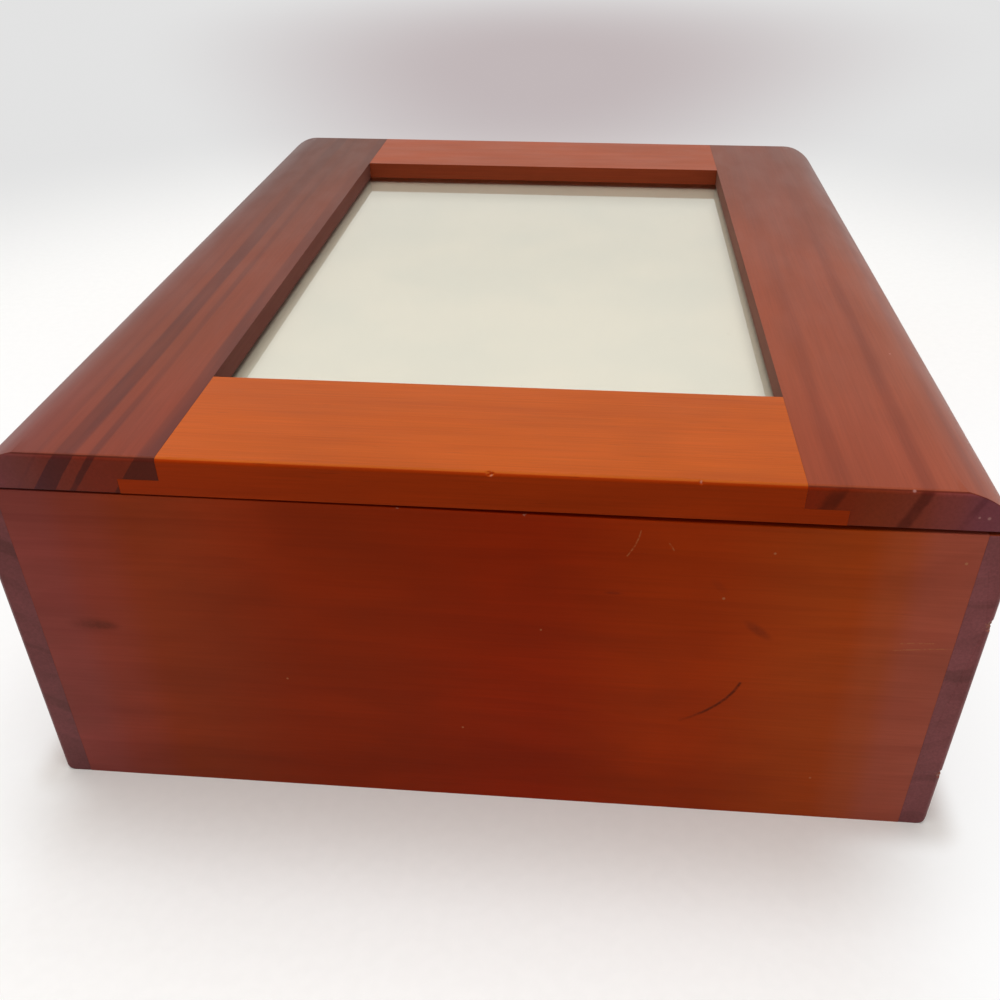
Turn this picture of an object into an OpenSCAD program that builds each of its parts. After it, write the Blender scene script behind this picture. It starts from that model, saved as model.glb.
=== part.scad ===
// Wooden photo storage box. The walls are rabbeted together round a let-in bottom,
// and the hinged lid is a glazed frame that shows one print.
// X runs to the right, Y to the back and Z up. The origin is the middle of the base.

/* [Print in the lid] */
// Width of the print that the lid holds
photo_w = 127; // [110:1:150]
// Length of the print that the lid holds
photo_l = 178; // [160:1:200]
// How far the lid's lip covers each long edge of the print
cover_side = 4.5; // [3:0.5:7]
// How far the lid's lip covers each short edge of the print
cover_end = 7.5; // [5:0.5:9]
// Free play beside each long edge of the print
play_side = 3.5; // [2:0.5:4.5]
// Free play beside each short edge of the print
play_end = 0.5; // [0.3:0.1:1.5]

/* [Walls] */
// Height of the walls
wall_h = 78; // [60:1:110]
// Thickness of the walls
wall_t = 9; // [8.5:0.5:12]
// Depth of the rabbets that join the walls to each other and to the bottom
let_in = 3; // [2:0.5:4]

/* [Bottom] */
// Thickness of the bottom panel
bottom_t = 4; // [3:0.5:6]
// Play round the bottom panel in its rabbet
bottom_play = 0.2; // [0.1:0.1:0.5]
// Thickness of the felt on the floor
felt_t = 1; // [0.6:0.1:2]
// Margin between the felt and the walls
felt_margin = 0.8; // [0.3:0.1:3]

/* [Lid] */
// Width of each stile, seen from above
stile_w = 39; // [34:0.5:46]
// Width of each rail, seen from above
rail_w = 33.5; // [31:0.5:40]
// Thickness of the lip that lies over the glass
lip_t = 4.8; // [4:0.2:7]
// Gap between the shut lid and the walls
lid_gap = 0.4; // [0.3:0.1:0.8]

/* [Glazing] */
// Thickness of the glass
glass_t = 1.6; // [1.2:0.1:2.4]
// Thickness of the blank sheet that stands in for a print
insert_t = 0.3; // [0.2:0.1:0.6]
// Thickness of the backing board
backing_t = 1.2; // [1:0.1:2.4]
// How far the backing board lies above the underside of the lid
backing_recess = 0.1; // [0:0.1:0.5]
// Play round the glass and the backing board
pane_play = 0.3; // [0.2:0.1:1]

/* [Rounded edges] */
// Radius of the long top edges, which runs from the lid on into the walls
top_edge_r = 13.5; // [9:0.5:16]
// Radius of the long bottom edges
bottom_edge_r = 2.5; // [1:0.5:4]
// Radius of the upright corners
corner_r = 1.2; // [0.5:0.1:2]
// Radius of the lid's front and rear top edges
end_edge_r = 1; // [0.5:0.1:2]

/* [Hinges] */
// Length of each hinge
hinge_l = 25; // [20:1:32]
// Distance from the end of the rear rail to the hinge nearest it
hinge_end = 3.5; // [2:0.5:12]
// Depth of the pin in from the rear face
pin_inset = 2; // [1.9:0.1:2.2]
// Radius of the hinge barrel
barrel_r = 1.9; // [1.7:0.1:2.1]
// Radius of the hinge pin
pin_r = 0.9; // [0.7:0.1:1]
// Radial clearance between the pin and the lid's knuckles
pin_play = 0.05; // [0.02:0.01:0.1]
// Radial clearance between the pin and the wall's knuckles
pin_fit = 0.02; // [0.01:0.01:0.04]
// How far the pin stands out of each end of the barrel
pin_proud = 0.3; // [0.1:0.1:0.5]
// Number of knuckles, an odd number
knuckles = 5; // [3:2:7]
// Space between two knuckles
knuckle_gap = 0.3; // [0.2:0.1:0.5]
// Space between the barrel and the wood round it
barrel_space = 0.35; // [0.3:0.05:0.5]
// Thickness of the hinge leaves
leaf_t = 1.1; // [0.9:0.1:1.4]
// How far the leaves stay back from the inside of the wall
leaf_margin = 0.5; // [0.2:0.1:1]
// Play between a leaf and the ends of its recess
leaf_play = 0.15; // [0.1:0.05:0.3]
// Distance from each end of a leaf to its nearest screw
leaf_screw_end = 5; // [4:0.5:6.5]
// Angle at which the bevelled seam stops the lid
open_angle = 100; // [94:1:110]

/* [Turn buttons] */
// Distance from the edge of the glazing pocket to a button's pivot
button_out = 4.5; // [4.2:0.1:6]
// Reach of a button's tongue from its pivot
button_reach = 10; // [8:0.5:11]
// Radius of a button round its pivot
button_r = 4; // [3.5:0.1:4.2]
// Radius of the tip of a button's tongue
button_tip_r = 2.2; // [1.5:0.1:3]
// How far the tongue's sides lie inside its two round ends
button_waist = 0.3; // [0.1:0.1:0.8]
// Thickness of a button
button_t = 0.9; // [0.6:0.1:1.4]
// Gap between the lid and a button
button_gap = 0.15; // [0.1:0.05:0.3]
// Radial clearance between a button and its screw
button_play = 0.08; // [0.03:0.01:0.1]
// Radius of the round screw heads that hold the buttons
button_head_r = 2.1; // [1.8:0.1:2.6]
// Height of those screw heads
button_head_h = 1; // [0.7:0.1:1.4]

/* [Fasteners] */
// Radius of every screw's shank
screw_r = 0.8; // [0.6:0.1:0.9]
// Length of every screw
screw_l = 6; // [5:0.5:6]
// Radius of the countersunk screw heads in the hinges
screw_head_r = 1.4; // [1.2:0.1:1.5]
// Height of the countersunk screw heads
screw_head_h = 0.7; // [0.5:0.1:0.8]
// Depth of a countersunk head below the face of its leaf
screw_sink = 0.05; // [0.02:0.01:0.1]
// Width of the crossed slots in the screw heads
slot_w = 0.4; // [0.3:0.05:0.5]
// Depth of the crossed slots
slot_h = 0.35; // [0.2:0.05:0.45]
// Radius of the brads under the bottom
brad_r = 0.5; // [0.4:0.05:0.6]
// Length of the brads
brad_l = 14; // [10:1:18]
// Radius of the brad heads
brad_head_r = 0.9; // [0.7:0.1:1.1]
// Height of the brad heads
brad_head_h = 0.4; // [0.3:0.1:0.6]
// Depth of the brad heads below the base
brad_sink = 0.1; // [0.05:0.05:0.3]
// Distance from the corner of the base to the nearest brad
brad_corner = 30; // [20:1:45]
// Radial space round each fastener in its hole
hole_fit = 0.08; // [0.06:0.01:0.12]

/* [Hidden] */
$fn = 64;
over = 1;

// Stained wood, darker on the long pieces and the end grain
front_stain = [0.50, 0.17, 0.05];
side_stain = [0.40, 0.15, 0.09];
stile_stain = [0.47, 0.20, 0.14];
rail_stain = [0.72, 0.33, 0.13];
plywood = [0.72, 0.58, 0.42];
felt_black = [0.06, 0.06, 0.07];
clear_glass = [0.85, 0.90, 0.88, 0.4];
blank_paper = [0.82, 0.80, 0.74];
brown_board = [0.45, 0.36, 0.26];
brass = [0.78, 0.62, 0.28];
steel = [0.62, 0.62, 0.63];

// The lid's window, the pocket behind it and the box round them
window_w = photo_w - 2 * cover_side;
window_l = photo_l - 2 * cover_end;
pocket_side = cover_side + play_side;
pocket_end = cover_end + play_end;
pocket_w = window_w + 2 * pocket_side;
pocket_l = window_l + 2 * pocket_end;
pocket_h = glass_t + insert_t + backing_t + backing_recess;
box_w = window_w + 2 * stile_w;
box_d = window_l + 2 * rail_w;
lid_t = lip_t + pocket_h;
lid_z = wall_h + lid_gap;
lip_z = lid_z + pocket_h;
box_h = lid_z + lid_t;

// The inside of the walls
inner_w = box_w - 2 * wall_t;
inner_d = box_d - 2 * wall_t;
let_in_w = inner_w + 2 * let_in;
let_in_d = inner_d + 2 * let_in;

// The hinge line
hinge_x = window_w / 2 - hinge_end - hinge_l / 2;
pin_y = box_d / 2 - pin_inset;
pin_z = wall_h + lid_gap / 2;
barrel_clear = barrel_r + barrel_space;
leaf_reach = wall_t - pin_inset - leaf_margin;
leaf_screw_x = hinge_l / 2 - leaf_screw_end;
leaf_screw_y = pin_y - (barrel_clear + leaf_reach) / 2;
knuckle_l = (hinge_l - (knuckles - 1) * knuckle_gap) / knuckles;
knuckle_step = knuckle_l + knuckle_gap;
bevel_l = 3 * pin_inset;

// Turn buttons and their screws, below the lid
button_z = lid_z - button_gap - button_t;
button_side_x = pocket_w / 2 + button_out;
button_end_y = pocket_l / 2 + button_out;
button_head_ball = (button_head_r * button_head_r + button_head_h * button_head_h)
    / (2 * button_head_h);
button_bite = screw_l - button_t - 2 * button_gap;

// A block that takes up the whole closed box, with its long edges rounded
module rounded_block() {
    rotate([90, 0, 0])
        linear_extrude(height = box_d, center = true)
            difference() {
                translate([-box_w / 2, 0]) square([box_w, box_h]);
                for (side = [0, 1]) {
                    mirror([side, 0]) corner_waste(box_w / 2, box_h, top_edge_r);
                    mirror([side, 0]) translate([0, box_h]) mirror([0, 1])
                        corner_waste(box_w / 2, box_h, bottom_edge_r);
                }
            }
}

// What rounding removes from a top right corner that lies at x, y
module corner_waste(x, y, r) {
    translate([x - r, y - r])
        difference() {
            square([r + over, r + over]);
            circle(r);
        }
}

// Waste along the four upright corners
module upright_corner_waste() {
    for (side = [0, 1], end = [0, 1])
        mirror([side, 0, 0]) mirror([0, end, 0])
            translate([0, 0, -over])
                linear_extrude(height = box_h + 2 * over)
                    corner_waste(box_w / 2, box_d / 2, corner_r);
}

// Waste along the lid's front and rear top edges
module lid_end_waste() {
    for (end = [0, 1])
        mirror([0, end, 0])
            rotate([90, 0, 90])
                linear_extrude(height = box_w + 2 * over, center = true)
                    corner_waste(box_d / 2, box_h, end_edge_r);
}

// Waste above (1) or below (-1) the rear seam, where its two bevels stop the open lid
module seam_bevel_waste(side) {
    translate([0, pin_y, pin_z])
        rotate([side * open_angle / 2, 0, 0])
            translate([-box_w / 2 - over, 0, side > 0 ? lid_gap / 2 - bevel_l : -lid_gap / 2])
                cube([box_w + 2 * over, bevel_l, bevel_l]);
}

// Copies of a hinge's piece at both hinges
module at_hinges() {
    for (x = [-hinge_x, hinge_x])
        translate([x, 0, 0]) children();
}

module at_leaf_screws() {
    for (x = [-leaf_screw_x, leaf_screw_x])
        translate([x, leaf_screw_y, 0]) children();
}

// Space that the hinges need in the wood above (1) or below (-1) the face at face_z
module hinge_recess(face_z, up) {
    at_hinges() {
        translate([-hinge_l / 2 - leaf_play, pin_y - leaf_reach - leaf_play,
                   up > 0 ? face_z - over : face_z - leaf_t])
            cube([hinge_l + 2 * leaf_play, leaf_reach + leaf_play, leaf_t + over]);
        translate([0, pin_y, pin_z]) rotate([0, 90, 0])
            cylinder(r = barrel_clear, h = hinge_l + 2 * (pin_proud + leaf_play), center = true);
        at_leaf_screws()
            translate([0, 0, up > 0 ? face_z : face_z - screw_l - screw_sink - hole_fit])
                cylinder(r = screw_r + hole_fit, h = screw_l + screw_sink + hole_fit);
    }
}

// Places that every brad shares, seen from above
module at_brads() {
    side_x = inner_w / 2 + let_in / 2;
    end_y = inner_d / 2 + let_in / 2;
    for (s = [-1, 1]) {
        for (y = [-1, 0, 1])
            translate([s * side_x, y * (box_d / 2 - brad_corner), 0]) children();
        for (x = [-1, 1])
            translate([x * (box_w / 2 - brad_corner), s * end_y, 0]) children();
    }
}

module brad_holes() {
    at_brads() {
        translate([0, 0, brad_sink - hole_fit])
            cylinder(r = brad_r + hole_fit, h = brad_l + 2 * hole_fit);
        translate([0, 0, -over])
            cylinder(r = brad_head_r + hole_fit, h = over + brad_sink + brad_head_h);
    }
}

// Walls
module end_wall() {
    difference() {
        translate([-let_in_w / 2, -box_d / 2, 0])
            cube([let_in_w, wall_t, wall_h]);
        bottom_rabbet();
        brad_holes();
    }
}

module bottom_rabbet() {
    translate([-let_in_w / 2, -let_in_d / 2, -over])
        cube([let_in_w, let_in_d, bottom_t + over]);
}

module side_wall() {
    difference() {
        intersection() {
            rounded_block();
            translate([inner_w / 2, -box_d / 2, 0])
                cube([wall_t, box_d, wall_h]);
        }
        for (end = [0, 1])
            mirror([0, end, 0])
                translate([inner_w / 2 - over, inner_d / 2, -over])
                    cube([let_in + over, wall_t + over, wall_h + 2 * over]);
        bottom_rabbet();
        upright_corner_waste();
        seam_bevel_waste(-1);
        brad_holes();
    }
}

module front_panel() {
    color(front_stain) end_wall();
}

module rear_panel() {
    color(front_stain)
        difference() {
            mirror([0, 1, 0]) end_wall();
            seam_bevel_waste(-1);
            hinge_recess(wall_h, -1);
        }
}

module right_side() {
    color(side_stain) side_wall();
}

module left_side() {
    color(side_stain) mirror([1, 0, 0]) side_wall();
}

// Bottom
module bottom_panel() {
    color(plywood)
        difference() {
            translate([-let_in_w / 2 + bottom_play, -let_in_d / 2 + bottom_play, 0])
                cube([let_in_w - 2 * bottom_play, let_in_d - 2 * bottom_play, bottom_t]);
            brad_holes();
        }
}

module bottom_brads() {
    color(steel)
        at_brads()
            translate([0, 0, brad_sink]) {
                cylinder(r = brad_head_r, h = brad_head_h);
                cylinder(r = brad_r, h = brad_l - brad_r);
                translate([0, 0, brad_l - brad_r])
                    cylinder(r1 = brad_r, r2 = brad_r / 4, h = brad_r);
            }
}

module floor_felt() {
    color(felt_black)
        translate([-inner_w / 2 + felt_margin, -inner_d / 2 + felt_margin, bottom_t])
            cube([inner_w - 2 * felt_margin, inner_d - 2 * felt_margin, felt_t]);
}

// Lid frame: the stiles' rabbets run right through, and the rails' tongues fill their ends
module stile() {
    difference() {
        intersection() {
            rounded_block();
            translate([window_w / 2, -box_d / 2, lid_z])
                cube([stile_w, box_d, lid_t]);
        }
        translate([window_w / 2 - over, -box_d / 2 - over, lid_z - over])
            cube([pocket_side + over, box_d + 2 * over, pocket_h + over]);
        translate([button_side_x, 0, 0]) button_screw_hole();
        upright_corner_waste();
        lid_end_waste();
        seam_bevel_waste(1);
    }
}

module rail() {
    difference() {
        union() {
            translate([-window_w / 2, -box_d / 2, lid_z])
                cube([window_w, rail_w, lid_t]);
            translate([-pocket_w / 2, -box_d / 2, lid_z])
                cube([pocket_w, rail_w, pocket_h]);
        }
        translate([-pocket_w / 2 - over, -pocket_l / 2, lid_z - over])
            cube([pocket_w + 2 * over, pocket_l, pocket_h + over]);
        translate([0, -button_end_y, 0]) button_screw_hole();
        lid_end_waste();
    }
}

module right_stile() {
    color(stile_stain) stile();
}

module left_stile() {
    color(stile_stain) mirror([1, 0, 0]) stile();
}

module front_rail() {
    color(rail_stain) rail();
}

module rear_rail() {
    color(rail_stain)
        difference() {
            mirror([0, 1, 0]) rail();
            seam_bevel_waste(1);
            hinge_recess(lid_z, 1);
        }
}

// What lies in the pocket, from the lip down
module pocket_sheet(w, l, t, z) {
    translate([-w / 2, -l / 2, z]) cube([w, l, t]);
}

module glass_pane() {
    color(clear_glass)
        pocket_sheet(pocket_w - 2 * pane_play, pocket_l - 2 * pane_play,
                     glass_t, lip_z - glass_t);
}

module photo_insert() {
    color(blank_paper)
        pocket_sheet(photo_w, photo_l, insert_t, lip_z - glass_t - insert_t);
}

module backing_board() {
    color(brown_board)
        pocket_sheet(pocket_w - 2 * pane_play, pocket_l - 2 * pane_play,
                     backing_t, lid_z + backing_recess);
}

// Turn buttons, with the tongue towards +X and the pivot at the origin
module button_screw_hole() {
    translate([0, 0, lid_z - over])
        cylinder(r = screw_r + hole_fit, h = over + button_bite + 2 * hole_fit);
}

module turn_button() {
    color(brass)
        translate([0, 0, button_z])
            difference() {
                union() {
                    cylinder(r = button_r, h = button_t);
                    translate([button_reach - button_tip_r, 0, 0])
                        cylinder(r = button_tip_r, h = button_t);
                    linear_extrude(height = button_t) tongue_sides();
                }
                translate([0, 0, -over])
                    cylinder(r = screw_r + button_play, h = button_t + 2 * over);
            }
}

// The tapered middle of the tongue, between its two round ends
module tongue_sides() {
    span = button_reach - button_tip_r;
    root_half = button_r - button_waist;
    tip_half = button_tip_r - button_waist;
    polygon([[0, -root_half], [span, -tip_half], [span, tip_half], [0, root_half]]);
}

module at_left_button() {
    translate([-button_side_x, 0, 0]) children();
}

module at_right_button() {
    translate([button_side_x, 0, 0]) rotate([0, 0, 180]) children();
}

module at_front_button() {
    translate([0, -button_end_y, 0]) rotate([0, 0, 90]) children();
}

module at_rear_button() {
    translate([0, button_end_y, 0]) rotate([0, 0, -90]) children();
}

module left_turn_button() {
    at_left_button() turn_button();
}

module right_turn_button() {
    at_right_button() turn_button();
}

module front_turn_button() {
    at_front_button() turn_button();
}

module rear_turn_button() {
    at_rear_button() turn_button();
}

// A round-headed screw that hangs below its button
module turn_button_screw() {
    translate([0, 0, button_z - button_gap]) {
        cylinder(r = screw_r, h = screw_l - screw_r);
        translate([0, 0, screw_l - screw_r])
            cylinder(r1 = screw_r, r2 = screw_r / 4, h = screw_r);
        mirror([0, 0, 1])
            difference() {
                intersection() {
                    cylinder(r = button_head_r, h = button_head_h);
                    translate([0, 0, button_head_h - button_head_ball])
                        sphere(button_head_ball);
                }
                translate([0, 0, button_head_h - slot_h]) cross_slot(button_head_r);
            }
    }
}

module turn_button_screws() {
    color(brass) {
        at_left_button() turn_button_screw();
        at_right_button() turn_button_screw();
        at_front_button() turn_button_screw();
        at_rear_button() turn_button_screw();
    }
}

// Crossed slots cut down to z = 0 in a screw head of radius r
module cross_slot(r) {
    for (turn = [0, 90])
        rotate([0, 0, turn])
            translate([-r / 2, -slot_w / 2, 0]) cube([r, slot_w, slot_h + over]);
}

// Hinges
module knuckle(index, play) {
    translate([-hinge_l / 2 + index * knuckle_step, 0, 0])
        difference() {
            union() {
                translate([0, pin_y, pin_z]) rotate([0, 90, 0])
                    cylinder(r = barrel_r, h = knuckle_l);
                children();
            }
            translate([-over, pin_y, pin_z]) rotate([0, 90, 0])
                cylinder(r = pin_r + play, h = knuckle_l + 2 * over);
        }
}

// A leaf whose plate starts at plate_z, with knuckles from the first index in steps of two.
// Its screw holes are cut last, so that no knuckle fills them again.
module leaf(plate_z, first, play) {
    difference() {
        union() {
            translate([-hinge_l / 2, pin_y - leaf_reach, plate_z])
                cube([hinge_l, leaf_reach - barrel_clear, leaf_t]);
            for (index = [first : 2 : knuckles - 1])
                knuckle(index, play)
                    translate([0, pin_y - barrel_clear - over, plate_z])
                        cube([knuckle_l, barrel_clear + over - pin_r, leaf_t]);
        }
        children();
    }
}

module leaf_screw_hole() {
    cylinder(r = screw_r + hole_fit, h = 2 * leaf_t + over, center = true);
    cylinder(r1 = screw_r + hole_fit, r2 = screw_head_r + hole_fit, h = screw_head_h);
    translate([0, 0, screw_head_h])
        cylinder(r = screw_head_r + hole_fit, h = screw_sink + over);
}

module wall_leaf() {
    color(brass)
        leaf(wall_h - leaf_t, 0, pin_fit)
            at_leaf_screws()
                translate([0, 0, wall_h - screw_sink - screw_head_h]) leaf_screw_hole();
}

module lid_leaf() {
    color(brass)
        leaf(lid_z, 1, pin_play)
            at_leaf_screws()
                translate([0, 0, lid_z + screw_sink + screw_head_h])
                    mirror([0, 0, 1]) leaf_screw_hole();
}

module hinge_pin() {
    color(steel)
        translate([0, pin_y, pin_z]) rotate([0, 90, 0])
            cylinder(r = pin_r, h = hinge_l + 2 * pin_proud, center = true);
}

module left_hinge_wall_leaf() {
    translate([-hinge_x, 0, 0]) wall_leaf();
}

module right_hinge_wall_leaf() {
    translate([hinge_x, 0, 0]) wall_leaf();
}

module left_hinge_lid_leaf() {
    translate([-hinge_x, 0, 0]) lid_leaf();
}

module right_hinge_lid_leaf() {
    translate([hinge_x, 0, 0]) lid_leaf();
}

module left_hinge_pin() {
    translate([-hinge_x, 0, 0]) hinge_pin();
}

module right_hinge_pin() {
    translate([hinge_x, 0, 0]) hinge_pin();
}

// A countersunk screw with the face of its head at z = 0 and its point down
module hinge_screw() {
    difference() {
        union() {
            translate([0, 0, -screw_head_h])
                cylinder(r1 = screw_r, r2 = screw_head_r, h = screw_head_h);
            translate([0, 0, -screw_l + screw_r])
                cylinder(r = screw_r, h = screw_l - screw_r - screw_head_h);
            translate([0, 0, -screw_l])
                cylinder(r1 = screw_r / 4, r2 = screw_r, h = screw_r);
        }
        translate([0, 0, -slot_h]) cross_slot(screw_head_r);
    }
}

module hinge_wall_screws() {
    color(brass)
        at_hinges() at_leaf_screws()
            translate([0, 0, wall_h - screw_sink]) hinge_screw();
}

module hinge_lid_screws() {
    color(brass)
        at_hinges() at_leaf_screws()
            translate([0, 0, lid_z + screw_sink]) mirror([0, 0, 1]) hinge_screw();
}

front_panel();
rear_panel();
left_side();
right_side();
bottom_panel();
bottom_brads();
floor_felt();
left_stile();
right_stile();
front_rail();
rear_rail();
glass_pane();
photo_insert();
backing_board();
front_turn_button();
rear_turn_button();
left_turn_button();
right_turn_button();
turn_button_screws();
left_hinge_wall_leaf();
left_hinge_lid_leaf();
left_hinge_pin();
right_hinge_wall_leaf();
right_hinge_lid_leaf();
right_hinge_pin();
hinge_wall_screws();
hinge_lid_screws();
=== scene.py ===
# Photo storage box: stained wood with a picture window in its hinged lid.
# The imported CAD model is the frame, and every piece here sits where it says.
import math

import bmesh
import bpy
from mathutils import Matrix, Vector, noise


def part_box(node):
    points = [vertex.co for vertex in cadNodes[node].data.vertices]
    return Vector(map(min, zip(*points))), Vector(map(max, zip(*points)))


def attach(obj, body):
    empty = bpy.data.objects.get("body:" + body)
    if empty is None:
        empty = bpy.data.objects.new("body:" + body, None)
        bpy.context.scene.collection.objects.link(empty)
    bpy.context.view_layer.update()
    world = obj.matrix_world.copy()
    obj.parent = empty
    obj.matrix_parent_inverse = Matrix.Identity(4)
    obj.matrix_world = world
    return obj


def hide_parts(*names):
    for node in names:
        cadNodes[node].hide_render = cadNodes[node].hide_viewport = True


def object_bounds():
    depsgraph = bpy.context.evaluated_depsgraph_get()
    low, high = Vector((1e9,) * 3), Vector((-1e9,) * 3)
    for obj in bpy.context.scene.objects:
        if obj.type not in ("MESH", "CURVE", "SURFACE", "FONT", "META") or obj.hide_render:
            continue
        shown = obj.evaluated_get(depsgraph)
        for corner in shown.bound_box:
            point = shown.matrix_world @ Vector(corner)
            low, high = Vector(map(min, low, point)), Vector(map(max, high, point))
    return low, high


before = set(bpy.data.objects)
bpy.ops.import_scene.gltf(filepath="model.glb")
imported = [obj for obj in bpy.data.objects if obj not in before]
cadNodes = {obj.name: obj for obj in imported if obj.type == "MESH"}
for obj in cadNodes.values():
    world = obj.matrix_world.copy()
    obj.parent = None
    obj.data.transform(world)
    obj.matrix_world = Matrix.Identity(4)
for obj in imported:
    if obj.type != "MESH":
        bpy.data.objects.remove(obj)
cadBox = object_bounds()
mm = 0.001
xAxis, yAxis, zAxis = 0, 1, 2
windowHalf = (59.0, 81.5)   # mm, half the opening that the lid's frame leaves
farOff = 1e6                # divides an axis away where only the other two count
white = (1.0, 1.0, 1.0)
print("frame loaded:", len(cadNodes), "CAD nodes")


# ---- camera, lamps and floor

shot = {
    "focalPixels": 1009.1,      # on a picture 1000 pixels wide
    "axisAt": (515, 515),       # the pixel the lens looks straight at, from the top left
    "yaw": -0.08491,            # radians, as are the next two
    "lookDown": 0.59905,
    "roll": -0.00319,
    "place": (20.38 * mm, -267.25 * mm, 181.83 * mm),
    "pictureWidth": 1000,
    "sensor": 36.0,             # mm
    "sees": (0.01, 50),         # m, from and to
}


def placeCamera(look):
    yaw, down, roll = look["yaw"], look["lookDown"], look["roll"]
    forward = Vector((math.sin(yaw) * math.cos(down), math.cos(yaw) * math.cos(down), -math.sin(down)))
    level = Vector((math.cos(yaw), -math.sin(yaw), 0))
    upright = level.cross(forward)
    right = level * math.cos(roll) + upright * math.sin(roll)
    up = upright * math.cos(roll) - level * math.sin(roll)
    lens = bpy.data.cameras.new("camera")
    lens.sensor_width = look["sensor"]
    lens.lens = look["focalPixels"] / look["pictureWidth"] * look["sensor"]
    lens.shift_x = 0.5 - look["axisAt"][0] / look["pictureWidth"]
    lens.shift_y = look["axisAt"][1] / look["pictureWidth"] - 0.5
    lens.clip_start, lens.clip_end = look["sees"]
    camera = bpy.data.objects.new("camera", lens)
    bpy.context.scene.collection.objects.link(camera)
    turn = Matrix((right, up, -forward)).transposed().to_4x4()
    camera.matrix_world = Matrix.Translation(look["place"]) @ turn
    bpy.context.scene.camera = camera


placeCamera(shot)
bpy.context.scene.view_settings.view_transform = "Standard"


# ---- short helpers for node trees

atWork = {"tree": None}     # the node tree that the helpers add to


def startNodes(owner):
    owner.use_nodes = True
    owner.node_tree.nodes.clear()
    atWork["tree"] = owner.node_tree


def startMaterial(name):
    material = bpy.data.materials.new(name)
    startNodes(material)
    return material


def link(value, socket):    # a wire from another node, or a plain value
    if isinstance(value, bpy.types.NodeSocket):
        atWork["tree"].links.new(value, socket)
    else:
        socket.default_value = value


def put(kind, values=None, **settings):
    made = atWork["tree"].nodes.new("ShaderNode" + kind)
    for key, value in settings.items():
        setattr(made, key, value)
    for key, value in (values or {}).items():
        link(value, made.inputs[key])
    return made


def number(how, a, b=0.0):
    return put("Math", {0: a, 1: b}, operation=how).outputs[0]


def sum2(a, b):
    return number("ADD", a, b)


def times(a, b):
    return number("MULTIPLY", a, b)


def vector(how, a, b=(0.0, 0.0, 0.0)):
    return put("VectorMath", {0: a, 1: b}, operation=how).outputs[0]


def span(a, b=(0.0, 0.0, 0.0)):       # distance between two places
    return put("VectorMath", {0: a, 1: b}, operation="DISTANCE").outputs["Value"]


def scaled(a, share):
    return put("VectorMath", {0: a, "Scale": share}, operation="SCALE").outputs[0]


def fade(value, start, end, low=0.0, high=1.0):   # smooth step from low to high
    made = put("MapRange", {"Value": value, "From Min": start, "From Max": end,
                            "To Min": low, "To Max": high}, interpolation_type="SMOOTHSTEP")
    return made.outputs["Result"]


def mixed(share, a, b, blend="MIX"):    # colours: a, and b by its share
    made = put("Mix", {0: share}, data_type="RGBA", blend_type=blend)
    for key, value in ((6, a), (7, b)):
        link((*value, 1.0) if isinstance(value, tuple) else value, made.inputs[key])
    return made.outputs[2]


def tinted(colour, tint):
    return mixed(1.0, colour, tint, blend="MULTIPLY")


def millimetres():      # place in the piece, in millimetres of the CAD frame
    return scaled(put("TexCoord").outputs["Object"], 1 / mm)


def apart(vector):
    return put("SeparateXYZ", {0: vector}).outputs


def stretched(place, sizes, seed):    # noise cells of these sizes, in millimetres
    return vector("ADD", vector("DIVIDE", place, sizes), (seed, seed * 1.7, -seed))


def cloud(place, sizes, seed, detail=2.0, rough=0.5, twist=0.0):
    field = put("TexNoise", {"Vector": stretched(place, sizes, seed), "Scale": 1.0,
                             "Detail": detail, "Roughness": rough, "Distortion": twist})
    return field.outputs["Fac"]


def wires(shader):
    link(shader, put("OutputMaterial").inputs["Surface"])


def principled(material, values):
    wires(put("BsdfPrincipled", values).outputs[0])
    return material


def bumped(height, depth, strength=1.0, under=None):
    made = put("Bump", {"Height": height, "Distance": depth * mm, "Strength": strength})
    if under is not None:
        link(under, made.inputs["Normal"])
    return made.outputs["Normal"]


stage = {
    "size": 6.0,                        # m
    "grain": (3.0, 3.0, 3.0),           # mm
    "floorSeen": (1.0, 1.0, 0.995),
    "duller": 0.985,                    # how its grain varies it
    "floorLit": (0.50, 0.50, 0.50),     # what it gives back to the box
    "shadeSeen": (0.70, 0.62, 0.63),    # a painted soft shade patch behind the box
    "shadePlace": (-35.0, 710.0, 0.0),  # its middle and how far it reaches, in mm
    "shadeDeep": 700.0,
    "shadeWide": 40.0,                  # and so much more for each mm behind the box
    "shadeWidens": 0.5,
    "shadeLeast": 100.0,
    "shadeEdge": (1.0, 0.15),
    "aside": [(66.0, 112.0, 0.80), (-84.0, -112.0, 0.60)],  # painted light beside it, lifting the floor's shade: x from and to, share
    "asideClear": (1.0, 9.0),           # but not where it touches, in mm, or behind it
    "asideEnds": (160.0, 20.0),
    "footprint": (98.0, 115.0, 0.0),    # half the box, and the painted contact shadow on the floor close to it
    "touchShadow": (0.86, 0.84, 0.82),
    "touchShadowFrom": (34.0, 4.0),
    "backdrop": 0.765,                  # tone of the far sheet, where it takes over, where it turns white
    "backdropFrom": (260.0, 540.0),
    "horizonFrom": (1300.0, 3600.0),
    "worldSeen": white,
    # what gloss shows of the room: sine of the height above the floor, and the tone there
    "mirrored": [(0.0, 0.95), (0.24, 0.62), (0.34, 0.70), (0.46, 1.0), (0.62, 0.50), (1.0, 0.42)],
    "mirroredTint": (1.0, 0.99, 0.985),
    "mirroredAside": (0.95, 0.95, 0.95),
    "mirroredBehind": (0.5, 0.85),
    "worldLit": (0.97, 0.985, 1.0),
    "worldStrength": 0.33,
}

lamps = {
    "ceilingPanel": {"place": (-0.05, -0.02, 1.05), "aim": (0.0, 0.0, 0.04), "size": (1.3, 1.0),
                     "watts": 11.0, "colour": (1.0, 0.985, 0.96)},
}


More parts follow.
